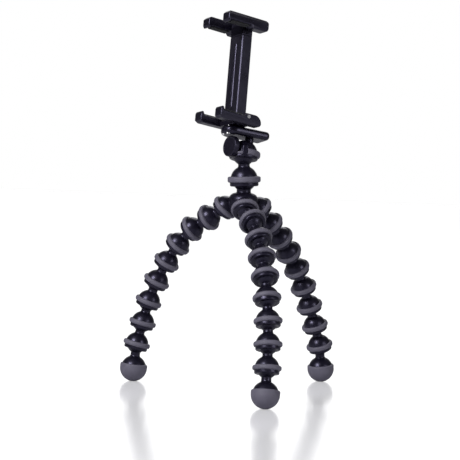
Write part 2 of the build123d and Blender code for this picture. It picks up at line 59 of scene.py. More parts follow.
picture_up = np.array([0, np.sin(eye_pitch), np.cos(eye_pitch)])
to_eye = np.array([0, -np.cos(eye_pitch), np.sin(eye_pitch)])
eye = np.eye(4)
eye[:3, 0] = np.cos(eye_roll) * np.array([1, 0, 0]) + np.sin(eye_roll) * picture_up
eye[:3, 1] = np.cos(eye_roll) * picture_up - np.sin(eye_roll) * np.array([1, 0, 0])
eye[:3, 2] = to_eye
eye[:3, 3] = np.array([hub_x, hub_y, aim_height]) + eye_distance * to_eye
lens = bpy.data.cameras.new("camera")
lens.sensor_fit = "HORIZONTAL"
lens.sensor_width = sensor_mm
lens.lens = focal_px / picture_px * sensor_mm
lens.shift_x = (picture_px / 2 - hub_axis_px) / picture_px
lens.clip_start = 10 * mm
camera = bpy.data.objects.new("camera", lens)
camera.matrix_world = Matrix(eye.tolist())
bpy.context.scene.collection.objects.link(camera)
bpy.context.scene.camera = camera


# Studio
# A pale shining table before a white backdrop, in a dim room with two soft lamps in front, the brighter one on the
# left, and a third behind. The front lamps are the soft spots on every dome, and the table mirrors the feet.
floor_hex = "D2D2D8"
floor_half = 3.0
floor_shine = 0.62
floor_roughness = 0.16
floor_glow = 0.39
lamps = {
    "left_lamp": {"at": (-0.75, -0.85, 0.88), "size": 0.60, "watts": 16.0},
    "right_lamp": {"at": (0.95, -0.68, 0.42), "size": 0.46, "watts": 3.0},
    "back_lamp": {"at": (0.15, 1.10, 1.10), "size": 0.80, "watts": 4.0},
}
room_strength = 0.10
backdrop_edge = 37
backdrop_full = 18
sharp_degrees = 30


def linear(hex_code, alpha=1.0):
    """The linear colour of an sRGB hex value: each channel over 12.92, or its offset share to the power 2.4."""
    channels = np.array([int(hex_code[k:k + 2], 16) for k in (0, 2, 4)]) / 255
    bright = ((channels + 0.055) / 1.055) ** 2.4
    return (*np.where(channels <= 0.04045, channels / 12.92, bright), alpha)


def add(tree, kind, settings, inputs):
    """Adds a node, sets its settings, and links or sets each of its inputs."""
    node = tree.nodes.new(kind)
    for name, value in settings.items():
        setattr(node, name, value)
    for name, value in inputs.items():
        if isinstance(value, bpy.types.NodeSocket):
            tree.links.new(value, node.inputs[name])
        else:
            node.inputs[name].default_value = value
    return node


def new_material(name):
    """An empty node material and its tree."""
    material = bpy.data.materials.new(name)
    material.use_nodes = True
    material.node_tree.nodes.clear()
    return material, material.node_tree


def new_piece(name, points, faces, material):
    """A mesh piece from its points and faces, smooth but for its sharp edges."""
    mesh = bpy.data.meshes.new(name)
    mesh.from_pydata(points, [], faces)
    mesh.materials.append(material)
    mesh.update()
    mesh.shade_smooth()
    mesh.set_sharp_from_angle(angle=np.radians(sharp_degrees))
    piece = bpy.data.objects.new(name, mesh)
    bpy.context.scene.collection.objects.link(piece)
    return piece


# White laminate: even and pale, with a shine that mirrors the feet. The camera alone sees the shine and the glow, so
# the undersides of the pieces reflect the laminate's own pale colour.
table, tree = new_material("white_laminate")
path = add(tree, "ShaderNodeLightPath", {}, {})
matt = add(tree, "ShaderNodeBsdfDiffuse", {}, {"Color": linear(floor_hex)})
shine = add(tree, "ShaderNodeBsdfGlossy", {}, {"Color": (1, 1, 1, 1), "Roughness": floor_roughness})
shine_share = add(tree, "ShaderNodeMath", {"operation": "MULTIPLY"},
                  {0: path.outputs["Is Camera Ray"], 1: floor_shine})
surface = add(tree, "ShaderNodeMixShader", {}, {0: shine_share.outputs[0], 1: matt.outputs[0], 2: shine.outputs[0]})
glow_share = add(tree, "ShaderNodeMath", {"operation": "MULTIPLY"},
                 {0: path.outputs["Is Camera Ray"], 1: floor_glow})
glow = add(tree, "ShaderNodeEmission", {}, {"Color": (1, 1, 1, 1), "Strength": glow_share.outputs[0]})
both = add(tree, "ShaderNodeAddShader", {}, {0: surface.outputs[0], 1: glow.outputs[0]})
add(tree, "ShaderNodeOutputMaterial", {}, {"Surface": both.outputs[0]})
corners = np.array([[-1, -1, 0], [1, -1, 0], [1, 1, 0], [-1, 1, 0]]) * floor_half
floor = new_piece("floor", corners.tolist(), [(0, 1, 2, 3)], table)

for name, lamp in lamps.items():
    light = bpy.data.lights.new(name, "AREA")
    light.shape = "DISK"
    light.size = lamp["size"]
    light.energy = lamp["watts"]
    stand = bpy.data.objects.new(name, light)
    backward = np.array(lamp["at"]) - np.array([hub_x, hub_y, aim_height])
    backward = backward / np.linalg.norm(backward)
    side = np.cross([0, 0, 1], backward)
    side = side / np.linalg.norm(side)
    turn = np.eye(4)
    turn[:3, 0] = side
    turn[:3, 1] = np.cross(backward, side)
    turn[:3, 2] = backward
    turn[:3, 3] = lamp["at"]
    stand.matrix_world = Matrix(turn.tolist())
    bpy.context.scene.collection.objects.link(stand)

world = bpy.data.worlds.new("room")
world.use_nodes = True
tree = world.node_tree
tree.nodes.clear()
path = add(tree, "ShaderNodeLightPath", {}, {})
seen = add(tree, "ShaderNodeMath", {"operation": "MAXIMUM"},
           {0: path.outputs["Is Camera Ray"], 1: path.outputs["Is Transmission Ray"]})
way = add(tree, "ShaderNodeSeparateXYZ", {}, {0: add(tree, "ShaderNodeTexCoord", {}, {}).outputs["Generated"]})
backdrop = add(tree, "ShaderNodeMapRange", {},
               {"Value": way.outputs["Y"], "From Min": np.cos(np.radians(backdrop_edge)),
                "From Max": np.cos(np.radians(backdrop_full)), "To Min": room_strength, "To Max": 1.0})
level = add(tree, "ShaderNodeMapRange", {},
            {"Value": seen.outputs[0], "To Min": backdrop.outputs[0], "To Max": 1.0})
sky = add(tree, "ShaderNodeBackground", {}, {"Color": (1, 1, 1, 1), "Strength": level.outputs[0]})
add(tree, "ShaderNodeOutputWorld", {}, {"Surface": sky.outputs[0]})
bpy.context.scene.world = world
bpy.context.scene.view_settings.view_transform = "Standard"


# Rubber feet
# Each foot is a soft cap moulded over a round core at the end of a leg.
# It has a rounded lip above its widest line and a small flat worn by standing.
leg_names = ("front", "right", "left")
link_count = 8
foot_r = 8.0
foot_pitch = 14.4
foot_core_r = 7.4
foot_lip = 2.5
foot_lip_round = 1.0
foot_flat = 0.15
turn_steps = 72
arc_step = 6
point_spacing = 0.6


def arc(centre, radius, first, last, step=arc_step):
    """Points (radius, height) on a circle about a centre, from one angle above level to another."""
    count = max(2, int(np.ceil(abs(last - first) / step)) + 1)
    angle = np.radians(np.linspace(first, last, count))
    return np.column_stack([centre[0] + radius * np.cos(angle), centre[1] + radius * np.sin(angle)])


def outline(*stretches):
    """Joins stretches of points, divides the straight runs evenly at the spacing or closer, and drops repeats."""
    corners = np.vstack([np.atleast_2d(stretch) for stretch in stretches]).astype(float)
    runs = np.linalg.norm(np.diff(corners, axis=0), axis=1)
    corners = corners[np.r_[True, runs > 1e-6]]
    runs = np.linalg.norm(np.diff(corners, axis=0), axis=1)
    counts = np.maximum(1, np.ceil(runs / point_spacing)).astype(int)
    start = np.repeat(np.arange(len(runs)), counts)
    share = (np.arange(counts.sum()) - np.repeat(np.r_[0, counts.cumsum()[:-1]], counts)) / counts[start]
    inner = corners[start] + share[:, None] * (corners[start + 1] - corners[start])
    return np.vstack([inner, corners[-1]])


def axes_along(way):
    """Three square axes whose third points along the way; the first is level."""
    third = np.array(way) / np.linalg.norm(way)
    first = np.cross([0, 0, 1], third)
    first = first / np.linalg.norm(first) if np.linalg.norm(first) > 1e-6 else np.array([1.0, 0, 0])
    return np.array([first, np.cross(third, first), third])


def turned(name, profile, centre, way, material, steps=turn_steps):
    """A profile in millimetres spun about a line: each point is its radius times the cosine and sine of the turn,
    and its height along the line. Ends on the line close in one point each, and other ends are joined. What would
    reach under the floor is flattened on it, as a standing foot is."""
    radius, height = profile.T * mm
    capped = radius[0] < 1e-9 and radius[-1] < 1e-9
    rows = np.arange(1, len(profile) - 1) if capped else np.arange(len(profile))
    turn = np.linspace(0, 2 * np.pi, steps, endpoint=False)
    grid = np.stack([np.outer(radius[rows], np.cos(turn)), np.outer(radius[rows], np.sin(turn)),
                     np.repeat(height[rows, None], steps, axis=1)], axis=-1).reshape(-1, 3)
    index = np.arange(len(rows) * steps).reshape(len(rows), steps)
    upper = index[:-1] if capped else index
    lower = index[1:] if capped else np.roll(index, -1, axis=0)
    quads = np.stack([upper, lower, np.roll(lower, -1, axis=1), np.roll(upper, -1, axis=1)], axis=-1)
    faces = quads.reshape(-1, 4).tolist()
    if capped:
        ends = np.array([[0, 0, height[0]], [0, 0, height[-1]]])
        first, last = len(grid), len(grid) + 1
        grid = np.vstack([grid, ends])
        ring = np.arange(steps)
        faces += np.column_stack([np.full(steps, first), index[0], np.roll(index[0], -1)]).tolist()
        faces += np.column_stack([np.full(steps, last), np.roll(index[-1], -1), index[-1]]).tolist()
    points = np.array(centre) + grid @ axes_along(way)
    points[:, 2] = np.maximum(points[:, 2], 0)
    return new_piece(name, points.tolist(), faces, material)


def grip_rubber_material():
    """Thermoplastic rubber, moulded and matt: a soft even grey with a violet tint, a little dust in its fine
    grain, and paler where hands and tables have rubbed its edges."""
    material, tree = new_material("thermoplastic_rubber")
    place = add(tree, "ShaderNodeTexCoord", {}, {}).outputs["Object"]
    # Clouds of handling marks about 6 mm across
    cloud = add(tree, "ShaderNodeTexNoise", {}, {"Vector": place, "Scale": 1 / (6 * mm), "Detail": 4.0})
    # The mould's grain, 0.15 mm on the real piece, drawn at 0.5 mm so that it shows
    grain = add(tree, "ShaderNodeTexNoise", {}, {"Vector": place, "Scale": 1 / (0.5 * mm), "Detail": 2.0})
    dust = add(tree, "ShaderNodeMapRange", {},
               {"Value": cloud.outputs["Fac"], "From Min": 0.35, "From Max": 0.7, "To Min": 0.0, "To Max": 0.35})
    tone = add(tree, "ShaderNodeMix", {"data_type": "RGBA"},
               {0: dust.outputs[0], 6: linear("5F5C6B"), 7: linear("767383")})
    edge = add(tree, "ShaderNodeNewGeometry", {}, {}).outputs["Pointiness"]
    worn = add(tree, "ShaderNodeMapRange", {},
               {"Value": edge, "From Min": 0.52, "From Max": 0.60, "To Min": 0.0, "To Max": 0.45})
    colour = add(tree, "ShaderNodeMix", {"data_type": "RGBA"},
                 {0: worn.outputs[0], 6: tone.outputs[2], 7: linear("8B8896")})
    rough = add(tree, "ShaderNodeMapRange", {}, {"Value": grain.outputs["Fac"], "To Min": 0.50, "To Max": 0.72})
    bump = add(tree, "ShaderNodeBump", {}, {"Strength": 0.25, "Distance": 0.05 * mm, "Height": grain.outputs["Fac"]})
    shader = add(tree, "ShaderNodeBsdfPrincipled", {},
                 {"Base Color": colour.outputs[2], "Roughness": rough.outputs[0], "IOR": 1.5,
                  "Normal": bump.outputs["Normal"]})
    add(tree, "ShaderNodeOutputMaterial", {}, {"Surface": shader.outputs[0]})
    return material


grip_rubber = grip_rubber_material()
foot_rim = foot_r - foot_lip_round
foot_outline = outline(
    arc((0, 0), foot_core_r, -90, np.degrees(np.arcsin(foot_lip / foot_core_r))),
    arc((foot_rim, foot_lip - foot_lip_round), foot_lip_round, 90, 0, 12),
    arc((0, 0), foot_r, 0, -90),
)
foot_centre = {}
for leg in leg_names:
    rest = next(m for m in frame["record"]["mounts"] if m["name"] == f"{leg}_foot_rest")
    foot_centre[leg] = np.array(rest["pos_m"]) + [0, 0, (foot_r - foot_flat) * mm]
    last_ball = np.array(joint[f"{leg}_foot_tilt"]["pos_m"])
    cap = turned(f"{leg}_rubber_foot", foot_outline, foot_centre[leg], last_ball - foot_centre[leg], grip_rubber)
    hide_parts(f"{leg}_foot_cap")
    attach(cap, f"{leg}_foot")


# Foot stems
# Under each foot's rubber is a glossy moulded core, with a neck and the last ball of the leg on top of it.
# The neck runs into the ball and the core with small hollow curves.
stem_sizes = {"pitch": foot_pitch, "ball_r": 5.8, "neck_r": 2.8, "ball_round": 0.6, "dome_round": 1.2,
              "dome_r": foot_core_r}


def hollow(height, radius, neck_r, round_r, side):
    """The small hollow curve between a neck and a ball of this radius at this height, below it (-1) or above it (1):
    a circle outside the neck that touches both. Gives its points from the ball to the neck, and the ball's angle."""
    centre_r = neck_r + round_r
    rise = np.sqrt((radius + round_r) ** 2 - centre_r ** 2)
    slope = np.degrees(np.arctan2(rise, centre_r))
    at_ball = 180 + slope if side > 0 else 180 - slope
    return arc((centre_r, height + side * rise), round_r, at_ball, 180, 12), slope


def ball_and_neck(sizes):
    """The outline from the top of a ball, down its neck, to the dome under it, and the angle where the dome starts."""
    under_ball, ball_slope = hollow(sizes["pitch"], sizes["ball_r"], sizes["neck_r"], sizes["ball_round"], -1)
    over_dome, dome_slope = hollow(0, sizes["dome_r"], sizes["neck_r"], sizes["dome_round"], 1)
    ball = arc((0, sizes["pitch"]), sizes["ball_r"], 90, -ball_slope)
    return np.vstack([ball, under_ball, over_dome[::-1]]), dome_slope


def leg_plastic_material():
    """Moulded ABS with a polished face: nearly black with a blue-violet cast, a slow swell from the mould that
    bends its reflections a little, finger marks that dull it in patches, and fine rubs at its edges."""
    material, tree = new_material("polished_abs")
    place = add(tree, "ShaderNodeTexCoord", {}, {}).outputs["Object"]
    # Finger marks about 9 mm across
    marks = add(tree, "ShaderNodeTexNoise", {}, {"Vector": place, "Scale": 1 / (9 * mm), "Detail": 5.0})
    # Slow swell of the moulded face, about 3 mm from crest to crest
    swell = add(tree, "ShaderNodeTexNoise", {}, {"Vector": place, "Scale": 1 / (3 * mm), "Detail": 1.0})
    tone = add(tree, "ShaderNodeMix", {"data_type": "RGBA"},
               {0: marks.outputs["Fac"], 6: linear("0D0B15"), 7: linear("171522")})
    edge = add(tree, "ShaderNodeNewGeometry", {}, {}).outputs["Pointiness"]
    worn = add(tree, "ShaderNodeMapRange", {},
               {"Value": edge, "From Min": 0.55, "From Max": 0.66, "To Min": 0.0, "To Max": 0.35})
    colour = add(tree, "ShaderNodeMix", {"data_type": "RGBA"},
                 {0: worn.outputs[0], 6: tone.outputs[2], 7: linear("4A4852")})
    rough = add(tree, "ShaderNodeMapRange", {},
                {"Value": marks.outputs["Fac"], "From Min": 0.3, "From Max": 0.7, "To Min": 0.28, "To Max": 0.38})
    bump = add(tree, "ShaderNodeBump", {}, {"Strength": 0.08, "Distance": 0.05 * mm, "Height": swell.outputs["Fac"]})
    shader = add(tree, "ShaderNodeBsdfPrincipled", {},
                 {"Base Color": colour.outputs[2], "Roughness": rough.outputs[0], "IOR": 1.54,
                  "Specular Tint": linear("D4CFF5"), "Normal": bump.outputs["Normal"]})
    add(tree, "ShaderNodeOutputMaterial", {}, {"Surface": shader.outputs[0]})
    return material


leg_plastic = leg_plastic_material()
stem_top, core_start = ball_and_neck(stem_sizes)
stem_outline = outline(stem_top, arc((0, 0), foot_core_r, core_start, -90))
for leg in leg_names:
    last_ball = np.array(joint[f"{leg}_foot_tilt"]["pos_m"])
    stem = turned(f"{leg}_foot_core", stem_outline, foot_centre[leg], last_ball - foot_centre[leg], leg_plastic)
    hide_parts(f"{leg}_foot_stem")
    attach(stem, f"{leg}_foot")


# Leg links
# Each link is one polished moulding: a ball on a neck above, a dome with a socket below, and a skirt round the
# socket's mouth. A soft ring sits in a groove between dome and skirt. The ball snaps into the next link's socket.
link_sizes = {"pitch": 13.0, "ball_r": 5.8, "neck_r": 2.8, "ball_round": 0.6, "dome_round": 1.2,
              "dome_r": 6.8, "socket_r": 5.86, "mouth_drop": 3.4, "lip_round": 0.15,
              "groove_r": 6.45, "skirt_r": 6.9, "skirt_round": 0.8,
              "ring_r": 8.0, "ring_height": 2.8, "ring_round": 1.1}
lip_degrees = 2


def socket_outline(dome_start, sizes):
    """A socket's outline from the start of its dome, past the ring's groove and the skirt, to the top of its hollow."""
    half = sizes["ring_height"] / 2
    low = -sizes["mouth_drop"]
    mouth_r = np.sqrt(sizes["socket_r"] ** 2 - sizes["mouth_drop"] ** 2)
    mouth_slope = np.degrees(np.arcsin(sizes["mouth_drop"] / sizes["socket_r"]))
    corner = sizes["skirt_round"]
    lip = sizes["lip_round"]
    return np.vstack([
        arc((0, 0), sizes["dome_r"], dome_start, np.degrees(np.arcsin(half / sizes["dome_r"]))),
        (sizes["groove_r"], half),
        (sizes["groove_r"], -half),
        (sizes["skirt_r"], -half),
        arc((sizes["skirt_r"] - corner, low + corner), corner, 0, -90, 12),
        arc((mouth_r + lip, low + lip), lip, -90, -180, 30),
        arc((0, 0), sizes["socket_r"], lip_degrees - mouth_slope, 90),
    ])


def ring_outline(sizes):
    """A soft ring's closed outline: flat inside against its groove, with a rounded rim."""
    half = sizes["ring_height"] / 2
    corner = sizes["ring_round"]
    rim = sizes["ring_r"] - corner
    return outline(
        (sizes["groove_r"], half),
        arc((rim, half - corner), corner, 90, 0, 9),
        arc((rim, corner - half), corner, 0, -90, 9),
        (sizes["groove_r"], -half),
    )


link_top, link_dome_start = ball_and_neck(link_sizes)
link_outline = outline(link_top, socket_outline(link_dome_start, link_sizes))
link_ring_outline = ring_outline(link_sizes)
for leg in leg_names:
    for number in range(1, link_count + 1):
        body = f"{leg}_link_{number}"
        below = f"{leg}_link_{number + 1}" if number < link_count else f"{leg}_foot"
        ball = np.array(joint[f"{body}_tilt"]["pos_m"])
        socket = np.array(joint[f"{below}_tilt"]["pos_m"])
        shell = turned(f"{body}_shell", link_outline, socket, ball - socket, leg_plastic)
        ring = turned(f"{body}_ring", link_ring_outline, socket, ball - socket, grip_rubber)
        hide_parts(f"{leg}_leg_link_{number}")
        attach(shell, body)
        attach(ring, body)


# Hub
# The three legs meet in one moulding: a round middle with a rounded shoulder, and three sockets that look down
# and out at 45 degrees. Each socket has its own soft ring. A ball stud is screwed on top of it from below.
hub_top = 8.9
hub_shoulder_r = 8.6
hub_shoulder_round = 4.2
hub_base_r = 5.2
hub_base_drop = 5.2
hub_base_round = 0.6
hub_base_slope = 20
hub_waist_drop = 1.5
stud_sizes = {"rise": 16.7, "ball_r": 7.0, "neck_r": 4.1, "ball_round": 0.7, "foot_round": 0.9}
up = np.array([0, 0, 1])
hub_centre = np.array(joint["post_tilt"]["pos_m"]) - up * stud_sizes["rise"] * mm
hub_outline = outline(
    (0, hub_top),
    arc((hub_shoulder_r - hub_shoulder_round, hub_top - hub_shoulder_round), hub_shoulder_round, 90, 0),
    (hub_shoulder_r, -hub_waist_drop),
    arc((hub_base_r - hub_base_round, hub_base_round - hub_base_drop), hub_base_round, -hub_base_slope, -90, 15),
    (0, -hub_base_drop),
)
hub_core = turned("hub_middle", hub_outline, hub_centre, up, leg_plastic)
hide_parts("hub_body")
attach(hub_core, "hub")
hub_cup_outline = outline(socket_outline(90, link_sizes))
for leg in leg_names:
    ball = np.array(joint[f"{leg}_link_1_tilt"]["pos_m"])
    outward = (ball - hub_centre) / np.linalg.norm(ball - hub_centre)
    cup = turned(f"hub_{leg}_socket", hub_cup_outline, ball, up - outward, leg_plastic)
    ring = turned(f"hub_{leg}_ring", link_ring_outline, ball, up - outward, grip_rubber)
    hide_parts("hub_grip_rings")
    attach(cup, "hub")
    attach(ring, "hub")

neck_curve, ball_slope = hollow(stud_sizes["rise"], stud_sizes["ball_r"], stud_sizes["neck_r"],
                                stud_sizes["ball_round"], -1)
stud_foot_r = stud_sizes["neck_r"] + stud_sizes["foot_round"]
stud_outline = outline(
    arc((0, stud_sizes["rise"]), stud_sizes["ball_r"], 90, -ball_slope),
    neck_curve,
    arc((stud_foot_r, hub_top + stud_sizes["foot_round"]), stud_sizes["foot_round"], 180, 270, 12),
    (0, hub_top),
)
stud = turned("hub_ball", stud_outline, hub_centre, up, leg_plastic)
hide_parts("hub_ball_stud")
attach(stud, "hub")
frame["nodes"]["hub_plug"].data.materials.clear()
frame["nodes"]["hub_plug"].data.materials.append(leg_plastic)


# Post
# One larger link of the same polished plastic joins the hub's ball to the head, and leans a little to the left. Its
# socket snaps over the hub's ball, and a soft ring sits in the groove round it.
post_sizes = {"pitch": 14.5, "ball_r": 6.6, "neck_r": 3.35, "ball_round": 0.6, "dome_round": 1.3,
              "dome_r": 7.9, "socket_r": 7.06, "mouth_drop": 3.95, "lip_round": 0.15,
              "groove_r": 7.55, "skirt_r": 8.25, "skirt_round": 0.8,
              "ring_r": 9.55, "ring_height": 3.5, "ring_round": 1.1}
post_top, post_dome_start = ball_and_neck(post_sizes)
post_outline = outline(post_top, socket_outline(post_dome_start, post_sizes))
head_ball = np.array(joint["head_tilt"]["pos_m"])
post_ball = np.array(joint["post_tilt"]["pos_m"])
post = turned("post_shell", post_outline, post_ball, head_ball - post_ball, leg_plastic)
post_ring = turned("post_ring", ring_outline(post_sizes), post_ball, head_ball - post_ball, grip_rubber)
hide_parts("post_link")
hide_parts("post_grip_ring")
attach(post, "post")
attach(post_ring, "post")


# Head
# A socket like the post's grips the post's ball, with a soft ring that a small lug breaks, and that is lower between
# the lug and the knob. The lock knob, a plain round disc, sits over a flat, and a neck carries the clamp's plate.
head_sizes = {**post_sizes, "dome_r": 8.0, "socket_r": 6.66, "mouth_drop": 3.2}
head_neck_r = 2.5
spigot_x = 3.0
lug_bearing = np.radians(-121)
lug_width = 3.2
lug_reach = 9.0
lug_foot = -2.1
lug_top = 3.6
lug_round = 0.5
lug_bury = 0.3
lug_room_share = 1.2
notch_bearings = np.radians([-175, -124])
notch_foot = -0.5
cutter_round = 0.1
cutter_edge = 0.05
overrun = 1.0
plate_floor = 9.4
running_gap = 0.05
flat_wall = 0.75
knob_height = 2.8
knob_r = 6.1
knob_thickness = 3.3
knob_edge = 0.5
knob_gap = 0.2
knob_dish_r = 4.9
knob_dish_depth = 0.4
knob_dish_round = 0.3
knob_steps = 96
head_axes = np.array([np.cross(joint["column_fold"]["axis"], joint["clamp_swivel"]["axis"]),
                      joint["column_fold"]["axis"], joint["clamp_swivel"]["axis"]])


def in_head(x, y, z):
    """A place given in millimetres along the clamp's arms, across them and up the column, from the head's ball."""
    return head_ball + np.array([x, y, z]) * mm @ head_axes


def rounded(corners, radii, steps=6):
    """A closed outline with round corners, and its outward normals. The path's direction turns evenly through each
    corner, and each point is a corner circle's centre less its radius times the normal to the path's left."""
    run = np.roll(corners, -1, axis=0) - corners
    leaving = np.arctan2(run[:, 1], run[:, 0])
    arriving = np.roll(leaving, 1)
    turn = (leaving - arriving + np.pi) % (2 * np.pi) - np.pi
    angle = arriving[:, None] + turn[:, None] * np.linspace(0, 1, steps)
    left = np.stack([-np.sin(angle), np.cos(angle)], axis=-1)
    back = (radii * np.tan(np.abs(turn) / 2))[:, None] * np.stack([np.cos(arriving), np.sin(arriving)], axis=-1)
    reach = (np.sign(turn) * radii)[:, None]
    centre = corners - back + reach * left[:, 0]
    return (centre[:, None] - reach[:, None] * left).reshape(-1, 2), -left.reshape(-1, 2)


def slab(name, corners, radii, low, high, edge, axes, material, steps=6, origin=head_ball):
    """A piece with a flat outline and round rims, carried from one face to the other. At each rim the outline draws
    in by the edge times one less the cosine, while it rises by the edge times the sine, over a quarter turn."""
    points, normals = rounded(np.array(corners, float), np.array(radii, float), steps)
    quarter = np.radians(np.linspace(0, 90, 9))
    inset = edge * (1 - np.cos(quarter))
    rise = edge * (np.sin(quarter) - 1)
    inset = np.r_[inset[::-1], inset]
    level = np.r_[low - rise[::-1], high + rise]
    rings = points[None] - inset[:, None, None] * normals[None]
    grid = np.concatenate([rings, np.repeat(level[:, None, None], len(points), axis=1)], axis=-1)
    index = np.arange(len(level) * len(points)).reshape(len(level), len(points))
    ahead = np.roll(index, -1, axis=1)
    quads = np.stack([index[:-1], ahead[:-1], ahead[1:], index[1:]], axis=-1).reshape(-1, 4)
    faces = quads.tolist() + [index[0, ::-1].tolist(), index[-1].tolist()]
    world = origin + grid.reshape(-1, 3) * mm @ np.array(axes)
    piece = new_piece(name, world.tolist(), faces, material)
    even = piece.modifiers.new("even_faces", "WEIGHTED_NORMAL")
    even.keep_sharp = True
    return piece


def cut(piece, tool):
    """Takes the tool's shape out of the piece, and removes the tool."""
    boolean = piece.modifiers.new("cut", "BOOLEAN")
    boolean.operation = "DIFFERENCE"
    boolean.solver = "EXACT"
    boolean.object = tool
    with_cut = piece.evaluated_get(bpy.context.evaluated_depsgraph_get())
    mesh = bpy.data.meshes.new_from_object(with_cut)
    piece.modifiers.clear()
    piece.data = mesh
    mesh.set_sharp_from_angle(angle=np.radians(sharp_degrees))
    bpy.data.objects.remove(tool)
    even = piece.modifiers.new("even_faces", "WEIGHTED_NORMAL")
    even.keep_sharp = True


head = turned("head_shell", outline(socket_outline(90, head_sizes)), head_ball, head_axes[2], leg_plastic)
head_ring = turned("head_ring", ring_outline(head_sizes), head_ball, head_axes[2], grip_rubber)
flat = head_sizes["socket_r"] + flat_wall
room_r = knob_r + knob_gap
room_end = head_sizes["ring_r"] + overrun
room_outline = outline((0, room_end), (room_r, room_end), (room_r, flat), (0, flat))
for piece in (head, head_ring):
    cut(piece, turned("knob_room", room_outline, in_head(0, 0, knob_height), -head_axes[0], leg_plastic, knob_steps))
lug_axes = np.array([np.cos(lug_bearing) * head_axes[0] + np.sin(lug_bearing) * head_axes[1],
                     np.cos(lug_bearing) * head_axes[1] - np.sin(lug_bearing) * head_axes[0], head_axes[2]])


def head_lug(name, reach, foot, top):
    """A block on the head's shell toward the lug's side, out to a distance from the axis."""
    inner = head_sizes["socket_r"] + lug_bury
    half = lug_width / 2
    corners = [(inner, -half), (reach, -half), (reach, half), (inner, half)]
    return slab(name, corners, [lug_round] * 4, foot, top, lug_round, lug_axes, leg_plastic)


lug = head_lug("head_lug", lug_reach, lug_foot, lug_top)
ring_height = head_sizes["ring_height"]
cut(head_ring, head_lug("lug_room", lug_reach * lug_room_share, -ring_height, ring_height))
notch_corners = np.array([(0, 0), *zip(np.cos(notch_bearings), np.sin(notch_bearings))]) * 2 * head_sizes["ring_r"]
cut(head_ring, slab("ring_notch", notch_corners, [cutter_round] * 3, notch_foot, ring_height, cutter_edge, head_axes,
                    leg_plastic, 2))
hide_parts("head_housing")
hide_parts("head_grip_ring")
neck_top = plate_floor - running_gap
neck_foot = head_sizes["socket_r"] - overrun
neck_outline = outline((0, neck_top), (head_neck_r, neck_top), (head_neck_r, neck_foot), (0, neck_foot))
neck = turned("head_neck", neck_outline, in_head(spigot_x, 0, 0), head_axes[2], leg_plastic)
for piece in (head, head_ring, neck, lug):
    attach(piece, "head")

knob_inner = flat + knob_gap
knob_outer = knob_inner + knob_thickness
knob_outline = outline(
    (0, knob_outer - knob_dish_depth),
    (knob_dish_r - knob_dish_round, knob_outer - knob_dish_depth),
    arc((knob_dish_r + knob_dish_round, knob_outer - knob_dish_round), knob_dish_round, 180, 90, 15),
    arc((knob_r - knob_edge, knob_outer - knob_edge), knob_edge, 90, 0, 15),
    arc((knob_r - knob_edge, knob_inner + knob_edge), knob_edge, 0, -90, 15),
    (0, knob_inner),
)
knob = turned("lock_knob_disc", knob_outline, in_head(0, 0, knob_height), -head_axes[0], leg_plastic, knob_steps)
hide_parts("lock_knob")
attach(knob, "lock_knob")


# Clamp plate
# A flat moulded plate turns on the head's neck and carries the clamp, a little askew to its arms. One end is round,
# and a pocket in its top holds the swivel's washer and screw.
column_x = -7.9
plate_r = 7.0
plate_rear = 13.2
plate_rear_round = 2.4
plate_edge = 2.2
plate_turn = np.radians(-7.7)
lower_pin_z = 18.7
lower_keel = 4.2
plate_web = 1.9
plate_steps = 32
pocket_r = 4.5


def clamp_plastic_material():
    """Moulded ABS with a spark-eroded satin face: black, even and a little grey where light grazes it, with a
    fine grain that spreads its highlights, and edges rubbed brighter."""
    material, tree = new_material("satin_abs")
    place = add(tree, "ShaderNodeTexCoord", {}, {}).outputs["Object"]
    # Handling marks about 8 mm across
    marks = add(tree, "ShaderNodeTexNoise", {}, {"Vector": place, "Scale": 1 / (8 * mm), "Detail": 5.0})
    # Spark-eroded grain, 0.1 mm on the real piece, drawn at 0.35 mm so that it shows
    grain = add(tree, "ShaderNodeTexNoise", {}, {"Vector": place, "Scale": 1 / (0.35 * mm), "Detail": 2.0})
    tone = add(tree, "ShaderNodeMix", {"data_type": "RGBA"},
               {0: marks.outputs["Fac"], 6: linear("0B0913"), 7: linear("14121E")})
    edge = add(tree, "ShaderNodeNewGeometry", {}, {}).outputs["Pointiness"]
    worn = add(tree, "ShaderNodeMapRange", {},
               {"Value": edge, "From Min": 0.52, "From Max": 0.62, "To Min": 0.0, "To Max": 0.5})
    colour = add(tree, "ShaderNodeMix", {"data_type": "RGBA"},
                 {0: worn.outputs[0], 6: tone.outputs[2], 7: linear("55535C")})
    rough = add(tree, "ShaderNodeMapRange", {},
                {"Value": marks.outputs["Fac"], "From Min": 0.3, "From Max": 0.7, "To Min": 0.26, "To Max": 0.36})
    bump = add(tree, "ShaderNodeBump", {}, {"Strength": 0.12, "Distance": 0.03 * mm, "Height": grain.outputs["Fac"]})
    shader = add(tree, "ShaderNodeBsdfPrincipled", {},
                 {"Base Color": colour.outputs[2], "Roughness": rough.outputs[0], "IOR": 1.54,
                  "Specular Tint": linear("D4CFF5"), "Normal": bump.outputs["Normal"]})
    add(tree, "ShaderNodeOutputMaterial", {}, {"Surface": shader.outputs[0]})
    return material


